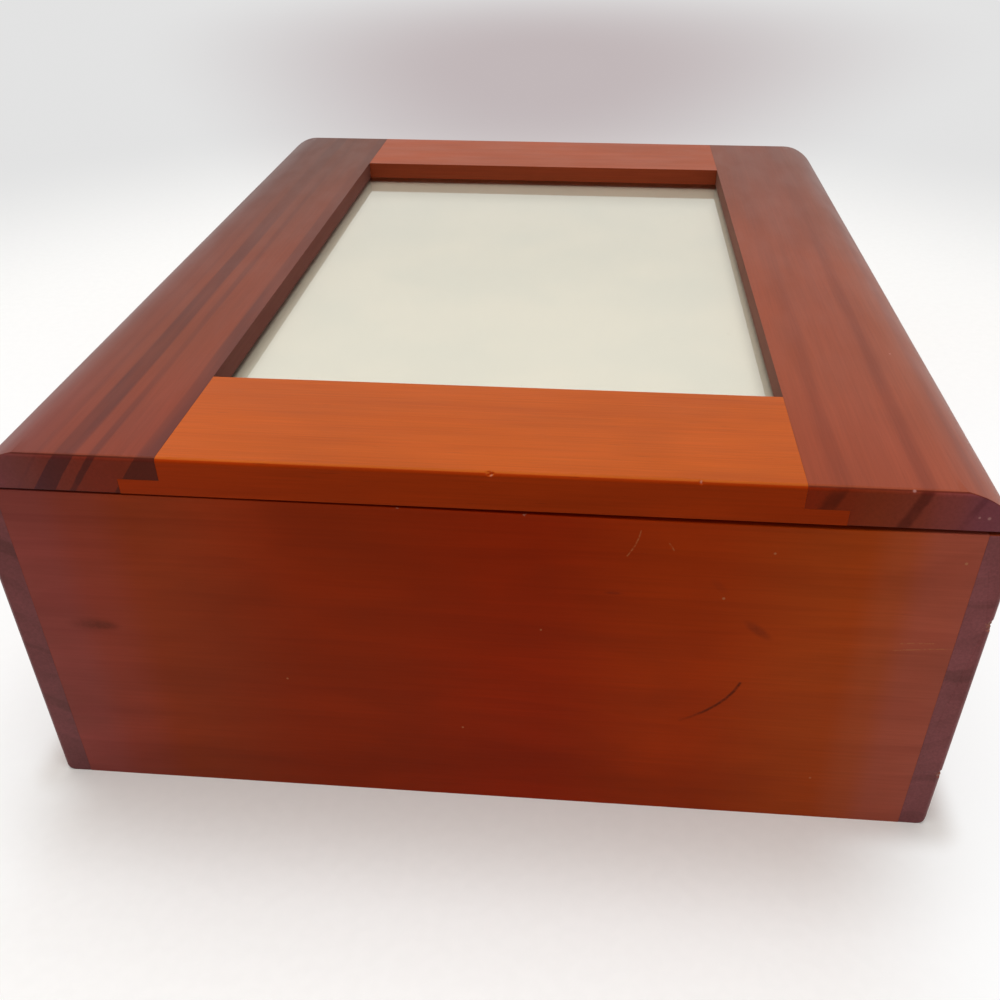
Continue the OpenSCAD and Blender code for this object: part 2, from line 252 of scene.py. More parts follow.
def seenByEye():    # 1 for rays from the camera, in mirrors and through glass
    light = put("LightPath").outputs
    first = number("MAXIMUM", light["Is Camera Ray"], light["Is Glossy Ray"])
    return number("MAXIMUM", first, light["Is Transmission Ray"])


def makeFloor(look):
    shape = bmesh.new()
    bmesh.ops.create_grid(shape, x_segments=8, y_segments=8, size=look["size"])
    mesh = bpy.data.meshes.new("floor")
    shape.to_mesh(mesh)
    shape.free()
    floor = bpy.data.objects.new("floor", mesh)
    bpy.context.scene.collection.objects.link(floor)
    material = startMaterial("pale table")
    place = millimetres()
    spot = apart(place)

    # the painted shade patch behind the box
    wide = sum2(times(spot[yAxis], look["shadeWidens"]), look["shadeWide"])
    wide = number("MAXIMUM", wide, look["shadeLeast"])
    reach = put("CombineXYZ", {"X": wide, "Y": look["shadeDeep"], "Z": farOff}).outputs[0]
    fromShade = vector("DIVIDE", vector("SUBTRACT", place, look["shadePlace"]), reach)
    shade = mixed(fade(span(fromShade), *look["shadeEdge"]), white, look["shadeSeen"])

    # the sheet itself, with a painted contact shadow close to the box
    grain = fade(cloud(place, look["grain"], 4.0, detail=5.0), 0.3, 0.7)
    seen = mixed(grain, look["floorSeen"], tuple(look["duller"] * c for c in look["floorSeen"]))
    seen = tinted(seen, shade)
    beyond = vector("SUBTRACT", vector("ABSOLUTE", place), look["footprint"])
    gap = span(vector("MAXIMUM", beyond))
    seen = mixed(fade(gap, *look["touchShadowFrom"]), seen, tinted(seen, look["touchShadow"]))
    colour = mixed(seenByEye(), look["floorLit"], seen)
    sheet = put("BsdfDiffuse", {"Color": colour, "Roughness": 0.4})

    # painted light beside the box, and far away one backdrop tone with the painted shade patch in it
    sides = [fade(spot[xAxis], start, end, 0.0, share) for start, end, share in look["aside"]]
    bright = times(sum2(*sides), fade(gap, *look["asideClear"]))
    bright = times(bright, fade(spot[yAxis], *look["asideEnds"]))
    # painted light: a white glow, seen by the camera only, beside the box
    pale = put("Emission", {"Color": (*white, 1.0), "Strength": 1.0})
    bright = times(bright, seenByEye())
    near = put("MixShader", {0: bright, 1: sheet.outputs[0], 2: pale.outputs[0]})
    away = span(place)
    glow = put("Emission", {"Color": shade,
                            "Strength": fade(away, *look["horizonFrom"], look["backdrop"], 1.0)})
    far = times(fade(away, *look["backdropFrom"]), seenByEye())
    shader = put("MixShader", {0: far, 1: near.outputs[0], 2: glow.outputs[0]})
    wires(shader.outputs[0])
    mesh.materials.append(material)


def lightTheRoom(look):
    world = bpy.data.worlds.new("studio")
    bpy.context.scene.world = world
    startNodes(world)
    lit = tuple(look["worldStrength"] * c for c in look["worldLit"])
    way = apart(put("TexCoord").outputs["Generated"])
    behind, height = way[yAxis], way[zAxis]
    toneAt = put("ValToRGB", {"Fac": height})
    for at, tone in look["mirrored"][1:-1]:
        toneAt.color_ramp.elements.new(at)
    for stop, (at, tone) in zip(toneAt.color_ramp.elements, look["mirrored"]):
        stop.position, stop.color = at, (*(tone * c for c in look["mirroredTint"]), 1)
    facingBack = fade(behind, *look["mirroredBehind"])
    inGloss = mixed(facingBack, look["mirroredAside"], toneAt.outputs["Color"])
    mirrored = put("LightPath").outputs["Is Glossy Ray"]
    colour = mixed(mirrored, mixed(seenByEye(), lit, look["worldSeen"]), inGloss)
    glow = put("Background", {"Color": colour, "Strength": 1.0})
    link(glow.outputs[0], put("OutputWorld").inputs["Surface"])


def hangLamp(name, look):
    light = bpy.data.lights.new(name, "AREA")
    light.shape = "RECTANGLE"
    light.size, light.size_y = look["size"]
    light.energy = look["watts"]
    light.color = look["colour"]
    lamp = bpy.data.objects.new(name, light)
    bpy.context.scene.collection.objects.link(lamp)
    lamp.location = look["place"]
    aim = Vector(look["aim"]) - Vector(look["place"])
    lamp.rotation_euler = aim.to_track_quat("-Z", "Y").to_euler()


makeFloor(stage)
lightTheRoom(stage)
for lampName, lampLook in lamps.items():
    hangLamp(lampName, lampLook)
print("camera, floor and lamps placed")


# ---- stained wood

panelWood = {"along": xAxis, "end": (0.62, 0.60, 0.9)}
wallWood = {
    "along": yAxis, "rub": ((0.30, 0.050, 0.020), 0.0, 0.40), "bandSoft": 0.35,
    "wander": 4.0, "fibre": 0.12, "pores": 0.12, "blotch": 0.12,
}
stileWood = {"along": yAxis, "bandsCrisp": True, "fibre": 0.07, "pores": 0.06}
railWood = {
    "along": xAxis, "end": (0.7, 0.6, 0.6), "ringShare": 0.30,
    "wander": 1.6, "fibre": 0.10, "pores": 0.16, "blotch": 0.08,
}

# light and dark are the early and the late wood, end tints the end grain (one tint, or tints at places in x),
# bands are late wood as middle, width and depth, toneAndSheen tints the faces at places along an axis, as
# stain and as painted sheen and shade, window is the edge round the glass, and rub is the arrises' colour
# with the least and the most of it, on the front panel a painted highlight with some wear
woods = {
    "stained front panel": {
        **panelWood, "light": (0.40, 0.050, 0.010), "dark": (0.27, 0.026, 0.006),
        # painted highlight along the top arris, stronger to the right, with some wear
        "rub": ((0.54, 0.19, 0.16), 0.30, 0.80), "highlightAndRubWhere": [(zAxis, 66, 76), (xAxis, -75, 20)],
        "rings": (0.0, 0.35, 1.0), "ringStep": 11.0, "ringShare": 0.22,
        "wander": 7.0, "fibre": 0.07, "pores": 0.06, "blotch": 0.13, "seed": 3.0,
        # painted reflection and shade: pale mauve towards both ends, deeper red in the middle
        "toneAndSheen": [(xAxis, [(-98, (0.76, 1.20, 5.0)), (-86, (0.77, 1.08, 4.2)), (-77, (0.80, 0.90, 2.4)),
                            (-66, (0.80, 0.74, 0.8)), (-30, (0.78, 0.43, 0.1)), (10, (0.82, 0.34, 0.03)),
                            (40, (0.97, 0.62, 0.1)), (71, (1.07, 1.08, 0.5)), (78, (1.08, 1.40, 1.9)),
                            (85, (1.06, 1.68, 4.6)), (98, (1.05, 1.85, 6.0))])],
    },
    "stained back panel": {
        **panelWood, "light": (0.40, 0.054, 0.005), "dark": (0.27, 0.026, 0.0035),
        "rub": ((0.46, 0.085, 0.022), 0.0, 0.45),
        "rings": (0.0, -0.3, 1.0), "ringStart": 2.0, "ringStep": 8.0, "ringShare": 0.34,
        "wander": 5.0, "fibre": 0.10, "pores": 0.10, "blotch": 0.16, "seed": 8.5,
    },
    "stained left wall": {
        **wallWood, "light": (0.32, 0.045, 0.014), "dark": (0.20, 0.030, 0.009), "end": (0.68, 1.35, 4.6),
        "rings": (0.45, 0.0, 1.0), "ringStep": 7.0, "ringShare": 0.30, "seed": 12.0,
        "bands": [(-24.0, 3.0, 0.6), (-6.0, 1.6, 0.5), (21.0, 4.0, 0.7)],
    },
    "stained right wall": {
        **wallWood, "light": (0.34, 0.050, 0.016), "dark": (0.21, 0.032, 0.010), "end": (0.80, 1.62, 5.4),
        "rings": (-0.35, 0.0, 1.0), "ringStep": 8.0, "ringShare": 0.26, "seed": 17.0,
        "bands": [(-22.0, 2.0, 0.5), (12.0, 3.4, 0.7), (30.0, 1.4, 0.5)],
    },
    "stained left stile": {
        **stileWood, "light": (0.27, 0.045, 0.020), "dark": (0.125, 0.024, 0.017),
        "window": (0.14, 0.045, 0.035), "edgeLine": (0.060, 0.008, 0.006),
        "rub": ((0.085, 0.010, 0.007), 0.25, 0.75),
        "end": [(-92, (1.30, 1.30, 1.90)), (-88, (1.17, 1.20, 1.50)), (-85, (1.10, 1.08, 1.27)),
                (-79, (1.02, 0.82, 1.00)), (-71, (0.99, 0.61, 0.60)), (-64, (0.99, 0.62, 0.52))],
        "rings": (1.0, 0.0, -0.72), "ringStart": 62.2, "ringStep": 3.1, "ringShare": 0.08,
        "bands": [(-81.0, 1.2, 0.25), (-75.9, 3.9, 1.0), (-70.5, 1.5, 0.66), (-58.3, 8.0, 0.9)],
        "bandSoft": 0.35, "wander": 0.4, "blotch": 0.05, "seed": 21.0,
        # along x, painted sheen: mauve towards the outer edge; along y, darker and greyer towards the rear
        "toneAndSheen": [(yAxis, [(-115, (0.90, 0.92, 1.18)), (-60, (0.85, 1.0, 1.12)),
                            (115, (0.50, 0.74, 0.88))]),
                   (xAxis, [(-98, (0.64, 1.05, 1.60)), (-88, (0.74, 1.02, 1.42)), (-76, (0.85, 0.92, 0.88)),
                            (-59, (0.92, 0.95, 0.88))])],
    },
    "stained right stile": {
        **stileWood, "light": (0.32, 0.060, 0.024), "dark": (0.17, 0.027, 0.013),
        "window": (0.155, 0.066, 0.048), "edgeLine": (0.105, 0.011, 0.007),
        "rub": ((0.11, 0.010, 0.006), 0.25, 0.75),
        "end": [(59, (0.88, 0.34, 0.16)), (66, (0.82, 0.42, 0.28)), (71, (0.82, 0.55, 0.42)),
                (78, (0.80, 0.62, 0.70)), (84, (0.86, 0.76, 1.30)), (90, (0.76, 0.80, 1.95)),
                (98, (0.86, 1.05, 2.4))],
        "rings": (1.0, 0.0, -0.42), "ringStart": 36.29, "ringStep": 4.2, "ringShare": 0.10,
        "bands": [(62.0, 9.4, 0.14), (65.7, 3.4, 0.44), (80.4, 2.9, 0.48), (90.6, 2.4, 0.34)],
        "bandSoft": 0.8, "wander": 0.9, "blotch": 0.06, "seed": 26.0,
        # the first speck is a painted highlight on the front arris, the others are pale flecks
        "specks": [((77.2, -114.8, 86.2), 0.45), ((89.3, -115.0, 81.3), 0.30), ((91.0, -115.0, 81.2), 0.42),
                   ((90.4, -107.1, 86.4), 0.34), ((85.0, -59.2, 86.4), 0.30)],
        # along x, painted sheen: mauve towards the outer edge; along y, darker and greyer towards the rear
        "toneAndSheen": [(yAxis, [(-115, (0.86, 0.88, 0.95)), (-60, (0.85, 0.96, 1.02)),
                            (115, (0.53, 0.75, 1.0))]),
                   (xAxis, [(59, (1.0, 0.93, 0.84)), (76, (1.0, 1.02, 1.12)), (88, (1.01, 1.22, 1.5)),
                            (98, (1.0, 1.32, 1.7))])],
    },
    "stained front rail": {
        **railWood, "light": (0.455, 0.081, 0.007), "dark": (0.37, 0.056, 0.005),
        "window": (0.20, 0.030, 0.008), "edgeShade": 0.85, "rub": ((0.20, 0.018, 0.004), 0.05, 0.50),
        "rings": (0.0, 1.0, -0.5), "ringStep": 5.5, "seed": 31.0,
    },
    "stained rear rail": {
        **railWood, "light": (0.315, 0.056, 0.012), "dark": (0.245, 0.036, 0.007),
        "window": (0.205, 0.036, 0.014), "edgeShade": 0.75, "rub": ((0.20, 0.020, 0.006), 0.05, 0.50),
        "rings": (0.0, 1.0, 0.4), "ringStep": 6.0, "seed": 36.0,
    },
}

chips = {   # bruises on the arrises: place in mm, how far it reaches, how deep, the arris's direction
    "front_rail": [((2.9, -115.0, 86.4), 0.95, 0.40, xAxis), ((40.4, -115.0, 86.4), 0.75, 0.30, xAxis)],
    "front_panel": [((-14.4, -115.0, 78.0), 0.5, 0.28, xAxis), ((9.2, -115.0, 78.0), 0.7, 0.30, xAxis)],
    "right_side": [((97.65, -114.65, 56.7), 1.5, 0.75, zAxis), ((97.65, -114.65, 15.6), 1.3, 0.65, zAxis)],
}

frontMarks = {      # on the front panel, as x, z in mm: scratches through three points, then soft spots
    "scored": [((41.8, 27.4), (50.6, 32.0), (52.9, 38.8))],
    "scoredWidth": 0.50,
    "scoredTone": (0.075, 0.007, 0.002),
    "scoredFrom": (41.5, 47.5),     # it bites deeper along this stretch of x
    "rubbed": [((30.6, 75.2), (30.2, 72.2), (28.4, 69.4)), ((36.0, 72.6), (36.5, 72.0), (36.9, 71.2)),
               ((80.8, 49.6), (86.0, 50.4), (92.8, 50.8)), ((82.0, 51.5), (85.0, 51.8), (88.0, 51.9))],
    "rubbedWidth": 0.22,
    "rubbedTone": (0.55, 0.20, 0.07),
    "steps": 6,
    # middle, half sizes, tilt in degrees, strength
    "stains": [((-80.2, 45.3), (5.6, 1.9), 0.0, 0.45), ((-78.4, 45.2), (3.6, 1.1), 0.0, 0.35),
               ((54.6, 52.9), (3.6, 1.1), -38.0, 0.40), ((46.0, 63.4), (2.2, 0.9), -45.0, 0.14),
               ((26.3, 60.4), (1.9, 0.4), 0.0, 0.40)],
    "stainTone": (0.080, 0.010, 0.007),
    "specks": [((47.2, 60.4), 0.35), ((55.3, 71.5), 0.30), ((89.5, 71.2), 0.35), ((-41.0, 33.0), 0.28),
               ((-4.0, 21.5), 0.30), ((12.5, 50.2), 0.25), ((71.0, 12.4), 0.30)],
    "speckTone": (0.60, 0.27, 0.12),
}

frontOnly = (1.0, 0.0, 1.0)     # leaves out the depth, so that a place counts as on the front face


def nearLine(place, start, end):      # distance in mm from a line on the front face
    a = Vector((start[0], 0.0, start[1]))
    way = Vector((end[0], 0.0, end[1])) - a
    out = vector("SUBTRACT", vector("MULTIPLY", place, frontOnly), a)
    share = put("VectorMath", {0: out, 1: way / way.length_squared}, operation="DOT_PRODUCT")
    held = put("Clamp", {"Value": share.outputs["Value"]}).outputs[0]
    return span(out, scaled(way, held))


def nearest(distances):
    found = distances[0]
    for other in distances[1:]:
        found = number("MINIMUM", found, other)
    return found


def bent(start, middle, end, steps):    # points of a smooth curve, as a row
    row = []
    for i in range(steps + 1):
        t = i / steps
        row.append(tuple(a * (1 - t) ** 2 + b * 2 * t * (1 - t) + c * t * t
                         for a, b, c in zip(start, middle, end)))
    return row


def strokes(place, lines, width, steps):
    rows = [bent(*line, steps) for line in lines]
    spans = [nearLine(place, a, b) for row in rows for a, b in zip(row, row[1:])]
    return fade(nearest(spans), width, width * 0.15)


def stain(place, spot):       # a soft oblong mark on the front face
    (x, z), (halfLong, halfHigh), tilt, strength = spot
    middle = (x, 0.0, z)
    turned = put("VectorRotate", {"Vector": place, "Center": middle, "Angle": math.radians(tilt)},
                 rotation_type="Y_AXIS").outputs[0]
    out = vector("DIVIDE", vector("SUBTRACT", turned, middle), (halfLong, farOff, halfHigh))
    return fade(span(out), 1.25, 0.35, 0.0, strength)


def marked(place, colour, speckle, look):     # the front panel's own scratches, stains and specks
    scored = strokes(place, look["scored"], look["scoredWidth"], look["steps"])
    biting = fade(apart(place)[xAxis], *look["scoredFrom"], 0.25, 1.0)
    scored = times(times(scored, biting), fade(speckle, 0.30, 0.55, 0.6, 1.0))
    rubbed = strokes(place, look["rubbed"], look["rubbedWidth"], look["steps"])
    rubbed = times(rubbed, fade(speckle, 0.40, 0.60, 0.15, 0.9))
    for spot in look["stains"]:
        mask = times(stain(place, spot), fade(speckle, 0.30, 0.60, 0.7, 1.0))
        colour = mixed(mask, colour, look["stainTone"])
    flat = vector("MULTIPLY", place, frontOnly)
    gaps = [times(span(flat, (x, 0.0, z)), 1 / size) for (x, z), size in look["specks"]]
    specks = fade(nearest(gaps), 1.1, 0.5)
    colour = mixed(times(scored, 0.85), colour, look["scoredTone"])
    colour = mixed(times(rubbed, 0.5), colour, look["rubbedTone"])
    colour = mixed(times(specks, 0.5), colour, look["speckTone"])
    return colour, sum2(sum2(scored, rubbed), specks)


def bandRamp(ring, bands, blur):      # dark late wood, as stops on one ramp over the board
    low = min(at - wide for at, wide, deep in bands) - 2
    high = max(at + wide for at, wide, deep in bands) + 2
    share = put("MapRange", {"Value": ring, "From Min": low, "From Max": high}).outputs["Result"]
    ramp = put("ValToRGB", {"Fac": share})
    stops = ramp.color_ramp.elements
    stops[0].position, stops[0].color = 0.0, (0, 0, 0, 1)
    stops[1].position, stops[1].color = 1.0, (0, 0, 0, 1)

    def depthAt(spot, band):
        at, wide, deep = band
        soft = min(blur, wide * 0.4)
        return deep * min(max((wide / 2 + soft - abs(spot - at)) / (2 * soft), 0), 1)

    for at, wide, deep in sorted(bands):
        soft = min(blur, wide * 0.4)
        near, far = at - wide / 2, at + wide / 2
        for spot in (near - soft, near + soft, far - soft, far + soft):
            value = max(depthAt(spot, band) for band in bands)
            stop = stops.new((spot - low) / (high - low))
            stop.color = (value, value, value, 1)
    return ramp.outputs["Color"]


def shadeRamp(spot, stops):       # slow change of colour along a board, as a tint: stain, and on some boards painted sheen and shade
    low, high = stops[0][0], stops[-1][0]
    share = put("MapRange", {"Value": spot, "From Min": low, "From Max": high}).outputs["Result"]
    ramp = put("ValToRGB", {"Fac": share})
    ramp.color_ramp.interpolation = "EASE"
    elements = ramp.color_ramp.elements
    elements[0].color = (*stops[0][1], 1)
    elements[1].color = (*stops[-1][1], 1)
    for at, tint in stops[1:-1]:
        stop = elements.new((at - low) / (high - low))
        stop.color = (*tint, 1)
    return ramp.outputs["Color"]


figure = {      # noise on every board: mm along the grain, mm across it, step of the seed, detail
    "wander": (120.0, 22.0, 0, 1.0),
    "fibre": (26.0, 0.55, 2, 5.0),
    "pores": (7.0, 0.30, 3, 2.0),
    "blotches": (48.0, 17.0, 4, 3.0),
    "patches": (60.0, 9.0, 5, 2.0),
    "speckle": (0.6, 0.6, 6, 3.0),
    "rubAndHighlight": (9.0, 9.0, 7, 3.0),
    "gloss": (18.0, 6.0, 8, 3.0),
    "waxing": (45.0, 5.0, 9, 2.0),
}

stainWork = {
    "bandsFaint": (-95.0, 95.0, 1.0, 0.35),     # the bands pale from this y to that
    "turnsAt": (0.58, 0.74),        # how far a rounded end has turned, 0 to 1, where its end grain starts
    "lineFrom": (0.40, 0.62),       # and where the dark line on it starts and ends
    "lineTo": (0.86, 0.70),
    "rough": (0.35, 0.41),
    "speckled": (0.02, 0.006, 0.004),
    "edgeShadeTint": (0.78, 0.26, 0.02),
    "chipped": (0.46, 0.18, 0.12),
    "flecked": (0.55, 0.27, 0.24),
    "shine": 0.16,
    "shineTint": (1.0, 0.45, 0.14, 1.0),
}


def figured(place, look, kind, rough=0.5, twist=0.0):
    along, across, step, detail = figure[kind]
    sizes = tuple(along if axis == look["along"] else across for axis in range(3))
    return cloud(place, sizes, look["seed"] + step, detail, rough, twist)


def lateWood(place, look, endOn):     # how dark the growth rings and the bands are
    # the rings count across the board on a slant, and wander along it
    shift = fade(figured(place, look, "wander"), 0.25, 0.75, -look["wander"], look["wander"])
    across = put("VectorMath", {0: place, 1: look["rings"]}, operation="DOT_PRODUCT")
    ring = sum2(sum2(across.outputs["Value"], look.get("ringStart", 0.0)), shift)
    year = number("FRACT", times(ring, 1 / look["ringStep"]))
    late = times(fade(year, 0.35, 0.92), fade(year, 1.0, 0.93))
    patchy = fade(figured(place, look, "patches"), 0.35, 0.65, 0.25, 1.0)
    dark = times(times(late, patchy), look["ringShare"])
    if "bands" in look:
        quiet = fade(apart(place)[yAxis], *stainWork["bandsFaint"])
        waxing = fade(figured(place, look, "waxing"), 0.25, 0.6, 0.55, 1.0)
        band = bandRamp(ring, look["bands"], look["bandSoft"])
        dark = number("MAXIMUM", dark, times(times(band, quiet), waxing))
    if "bandsCrisp" in look:        # sawn across, they show sharper and darker
        dark = put("Mix", {0: endOn, 2: dark, 3: fade(dark, 0.16, 0.46)}).outputs[0]
    return dark


def woodMaterial(name, look, marks, ownMarks=None):
    material = startMaterial(name)
    place = millimetres()
    spot = apart(place)
    facing = [number("ABSOLUTE", side) for side in apart(put("TexCoord").outputs["Normal"])]
    endOn = fade(facing[look["along"]], *stainWork["turnsAt"])
    colour = mixed(lateWood(place, look, endOn), look["light"], look["dark"])

    # fibres, pores and the uneven take of the stain
    fibre = figured(place, look, "fibre", rough=0.65)
    pore = fade(figured(place, look, "pores"), 0.66, 0.80)
    blotch = figured(place, look, "blotches", twist=0.6)
    fibreTone = fade(fibre, 0.25, 0.75, 1 - look["fibre"], 1 + look["fibre"])
    blotchTone = fade(blotch, 0.28, 0.72, 1 - look["blotch"], 1 + look["blotch"])
    poreTone = fade(pore, 0.0, 1.0, 1.0, 1 - look["pores"] * 2)
    tone = times(times(fibreTone, blotchTone), poreTone)
    colour = scaled(colour, tone)
    # stain tone, and painted sheen and shade on the front panel and the stiles
    for axis, stops in look.get("toneAndSheen", []):
        colour = tinted(colour, shadeRamp(spot[axis], stops))

    # end grain drinks more stain, and the rails' front and back edges get painted shade
    speckle = figured(place, look, "speckle")
    endTint = look["end"]
    if isinstance(endTint, list):
        endTint = shadeRamp(spot[xAxis], endTint)
    endColour = tinted(colour, endTint)
    endColour = mixed(fade(speckle, 0.40, 0.72, 0.0, 0.08), endColour, stainWork["speckled"])
    colour = mixed(endOn, colour, endColour)
    if "edgeLine" in look:      # and it stands in a dark line where an end's edge turns
        turned = facing[look["along"]]
        line = times(fade(turned, *stainWork["lineFrom"]), fade(turned, *stainWork["lineTo"]))
        colour = mixed(times(line, 0.75), colour, look["edgeLine"])
    # painted shade: the rails' front and back faces darker and redder than their tops
    if "edgeShade" in look:
        edgeOn = times(fade(facing[yAxis], *stainWork["turnsAt"]), look["edgeShade"])
        colour = mixed(edgeOn, colour, tinted(colour, stainWork["edgeShadeTint"]))
    rough = fade(figured(place, look, "gloss"), 0.3, 0.7, *stainWork["rough"])
    if "window" in look:        # the faces round the glass are darker and duller
        inside = [fade(number("ABSOLUTE", side), edge + 0.6, edge + 0.2)
                  for side, edge in zip(spot, windowHalf)]
        raw = times(times(*inside), fade(facing[zAxis], 0.75, 0.45))
        colour = mixed(times(raw, 0.9), colour, scaled(look["window"], tone))
        rough = sum2(rough, times(raw, 0.45))

    # arrises where the stain gathers on some boards and is rubbed through on others, with a painted highlight
    # along the front panel's top arris
    arris = put("Attribute", attribute_name="arris").outputs["Fac"]
    tint, least, most = look["rub"]
    rubAndHighlight = fade(figured(place, look, "rubAndHighlight"), 0.30, 0.70, least, most)
    for axis, none, full in look.get("highlightAndRubWhere", []):
        arris = times(arris, fade(spot[axis], none, full))
    colour = mixed(times(arris, rubAndHighlight), colour, tint)
    # pale flecks, and on the right stile one painted highlight on the arris
    for middle, size in look.get("specks", []):
        fleck = fade(span(place, middle), size, size * 0.4, 0.0, 0.6)
        colour = mixed(fleck, colour, stainWork["flecked"])

    relief = bumped(sum2(fibre, times(pore, -0.8)), 0.03, 0.5)
    if ownMarks:
        colour, dents = marked(place, colour, speckle, ownMarks)
        relief = bumped(dents, -0.03, 0.7, under=relief)
    if marks:
        gaps = [times(span(place, mark[0]), 1 / mark[1]) for mark in marks]
        ragged = sum2(nearest(gaps), times(sum2(speckle, -0.5), 2.2))
        colour = mixed(fade(ragged, 0.80, 0.40, 0.0, 0.70), colour, stainWork["chipped"])
    return principled(material, {
        "Base Color": colour, "Roughness": rough, "Normal": relief,
        "Specular IOR Level": stainWork["shine"], "Specular Tint": stainWork["shineTint"],
    })


# ---- boards, taken from their CAD solids and worked over as a maker would

boards = {      # by the body they ride on, as node: piece, slot, wood
    "box": {
        "front_panel": ("front_board", "panel_wood", "stained front panel"),
        "rear_panel": ("rear_board", "panel_wood", "stained back panel"),
        "left_side": ("left_wall", "side_wood", "stained left wall"),
        "right_side": ("right_wall", "side_wood", "stained right wall"),
    },
    "lid": {
        "left_stile": ("lid_left_stile", "stile_wood", "stained left stile"),
        "right_stile": ("lid_right_stile", "stile_wood", "stained right stile"),
        "front_rail": ("lid_front_rail", "rail_wood", "stained front rail"),
        "rear_rail": ("lid_rear_rail", "rail_wood", "stained rear rail"),
    },
}

edges = {       # mm: how far the arrises are eased, and planes where boards meet and stay sharp
    "box": {"arris": 0.14, "joints": [(xAxis, 92)]},
    "lid": {"arris": 0.15, "joints": [(xAxis, 59), (xAxis, 67), (zAxis, 81.6)]},
}

boardWork = {
    "weld": 0.002,          # mm, within which CAD points are one
    "sharpAngle": 25.0,     # degrees, from which an edge is an arris
    "shortest": 0.95,       # mm, so that screw holes stay as they are
    "onPlane": 0.02,        # mm, within which a corner lies in a joint or a cut
    "slice": 6.0,           # mm between cross cuts along a board
    "hollow": 0.05,         # mm that a hand-planed face dips
    "wave": 23.0,           # mm
    "endOn": 0.9,           # how squarely an end faces along its board
    "endCorners": 6,        # an end with more than these is cut into triangles, so that it shades evenly
    "smoothBelow": 38.0,    # degrees between faces
}

chipWork = {"cuts": 14, "strip": 1.4, "depth": 0.6, "variation": 0.8, "finer": 1.9}


def freshMesh(nodeName):
    shape = bmesh.new()
    shape.from_mesh(cadNodes[nodeName].data)
    bmesh.ops.remove_doubles(shape, verts=shape.verts, dist=boardWork["weld"] * mm)
    bmesh.ops.dissolve_limit(shape, angle_limit=math.radians(1), verts=shape.verts, edges=shape.edges)
    return shape


def easeArrises(shape, width, joints=()):
    arrisOf = shape.faces.layers.float.new("arris")     # read by the wood's material

    def inJoint(edge):      # where two boards meet tight, the edge stays sharp
        return any(all(abs(abs(v.co[axis]) / mm - at) < boardWork["onPlane"] for v in edge.verts)
                   for axis, at in joints)

    sharp = [e for e in shape.edges
             if len(e.link_faces) == 2 and e.calc_length() > boardWork["shortest"] * mm
             and e.calc_face_angle() > math.radians(boardWork["sharpAngle"])
             and not inJoint(e)]
    done = bmesh.ops.bevel(shape, geom=sharp, offset=width * mm, segments=3, profile=0.5,
                           affect="EDGES", clamp_overlap=False)
    for face in done["faces"]:
        face[arrisOf] = 1.0


def crossCut(shape, axis, spots, faces=None):   # adds edges where planes across the axis meet it
    way = Vector((0, 0, 0))
    way[axis] = 1.0
    for spot in spots:
        some = faces() if faces else list(shape.faces)
        around = {e for f in some for e in f.edges}
        corners = {v for f in some for v in f.verts}
        bmesh.ops.bisect_plane(shape, geom=[*corners, *around, *some], dist=boardWork["onPlane"] * mm,
                               plane_co=way * spot * mm, plane_no=way)


def evenly(start, end, count):      # places between two ends, in mm
    return [(start + (end - start) * i / count) / mm for i in range(1, count)]


def chipArris(shape, chip):
    spot, reach, deep, axis = chip
    middle = Vector(spot) * mm

    def strip():        # the narrow faces that run along the arris there
        found = []
        for face in shape.faces:
            aside = face.calc_center_median() - middle
            aside[axis] = 0
            spots = [v.co[axis] / mm - spot[axis] for v in face.verts]
            if aside.length < chipWork["strip"] * mm and min(spots) < reach and max(spots) > -reach:
                found.append(face)
        return found

    count = chipWork["cuts"]
    crossCut(shape, axis, [spot[axis] + reach * (2 * i / count - 1) for i in range(count + 1)], strip)
    inward = Vector((0, 0, 0))
    for other in range(3):
        if other != axis:
            inward[other] = -1.0 if middle[other] > (cadBox[0][other] + cadBox[1][other]) / 2 else 1.0
    inward.normalize()
    for vert in shape.verts:
        gap = (vert.co - middle).length / (reach * mm)
        if gap < 1:
            ragged = chipWork["depth"] + chipWork["variation"] * noise.noise(vert.co / mm * chipWork["finer"])
            vert.co += inward * deep * mm * (1 - gap * gap) * ragged


def settle(shape, low, high, hollow):     # faces dip a little, never past the CAD box
    shape.normal_update()
    for vert in shape.verts:
        dip = 0.5 + 0.5 * noise.noise(vert.co / (boardWork["wave"] * mm))
        vert.co -= vert.normal * hollow * mm * dip
        for axis in range(3):
            vert.co[axis] = min(max(vert.co[axis], low[axis]), high[axis])


def smoothShape(mesh):
    shape = bmesh.new()
    shape.from_mesh(mesh)
    for face in shape.faces:
        face.smooth = True
    for edge in shape.edges:
        if len(edge.link_faces) == 2:
            edge.smooth = edge.calc_face_angle(0) < math.radians(boardWork["smoothBelow"])
    shape.to_mesh(mesh)
    shape.free()


def finishPiece(name, shape, material, body, nodes, weighted=True):
    mesh = bpy.data.meshes.new(name)
    shape.to_mesh(mesh)
    shape.free()
    smoothShape(mesh)
    mesh.materials.append(material)
    piece = bpy.data.objects.new(name, mesh)
    bpy.context.scene.collection.objects.link(piece)
    if weighted:
        even = piece.modifiers.new("even shading", "WEIGHTED_NORMAL")
        even.keep_sharp = True
    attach(piece, body)
    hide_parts(*nodes)
    return piece


warp = {    # the lid gapes towards its front right corner, so the walls' top edges fall there, in mm
    "deepest": 0.65, "deepestAt": 66.0, "from": -45.0, "atCorner": 0.30, "corner": 98.0,
    "fadeFrom": -106.0, "fadeDepth": 55.0, "reachDown": 14.0,
    "nodes": ("front_panel", "right_side"),
}


